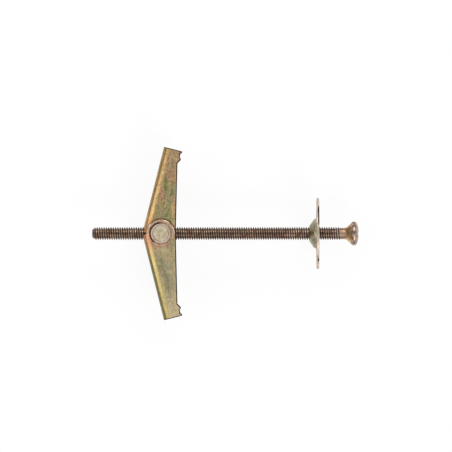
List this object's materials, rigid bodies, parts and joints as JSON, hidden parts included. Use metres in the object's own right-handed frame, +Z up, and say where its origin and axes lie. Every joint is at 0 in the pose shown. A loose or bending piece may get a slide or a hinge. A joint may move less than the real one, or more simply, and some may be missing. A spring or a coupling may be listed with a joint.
{
  "type": "toggle anchor",
  "caption": "Spring toggle anchor for hollow walls: a raised countersunk machine screw with a loose cup washer and a sprung toggle of folding channel wings on a cross-bar nut.",
  "frame": {"origin": "middle of the footprint, at the lowest point of the washer's rim", "axes": "+X along the screw from its tip to its head, +Y across to the upper wing of the picture, +Z up along the wings' pivot"},
  "size_m": [0.0812, 0.0528, 0.0217],
  "materials": {
    "screw": "yellow chromated zinc, worn to bronze brown",
    "washer": "pale yellow chromated zinc",
    "trunnion_nut": "pale yellow chromated zinc",
    "wing_a": "yellow chromated zinc, iridescent",
    "wing_b": "yellow chromated zinc, iridescent",
    "torsion_spring": "bright spring wire"
  },
  "bodies": {
    "screw": {"screw": "screw"},
    "washer": {"washer": "washer"},
    "toggle_nut": {"trunnion_nut": "trunnion_nut", "torsion_spring": "torsion_spring"},
    "wing_a": {"wing_a": "wing_a"},
    "wing_b": {"wing_b": "wing_b"}
  },
  "joints": [
    {"name": "toggle_travel", "type": "slide", "parent": "screw", "child": "toggle_nut", "axis": [1, 0, 0], "range_m": [-0.016, 0.012]},
    {"name": "washer_slide", "type": "slide", "parent": "screw", "child": "washer", "axis": [1, 0, 0], "range_m": [-0.0065, 0.0105]},
    {"name": "wing_a_fold", "type": "hinge", "parent": "toggle_nut", "child": "wing_a", "pos_m": [-0.01972, 0, 0.01085], "axis": [0, 0, -1], "range_deg": [0, 76], "stiffness_Nm_per_rad": 0.02, "springref_deg": -22.92, "deforming": ["torsion_spring"]},
    {"name": "wing_b_fold", "type": "hinge", "parent": "toggle_nut", "child": "wing_b", "pos_m": [-0.01972, 0, 0.01085], "axis": [0, 0, 1], "range_deg": [0, 76], "stiffness_Nm_per_rad": 0.02, "springref_deg": -22.92, "deforming": ["torsion_spring"]}
  ]
}
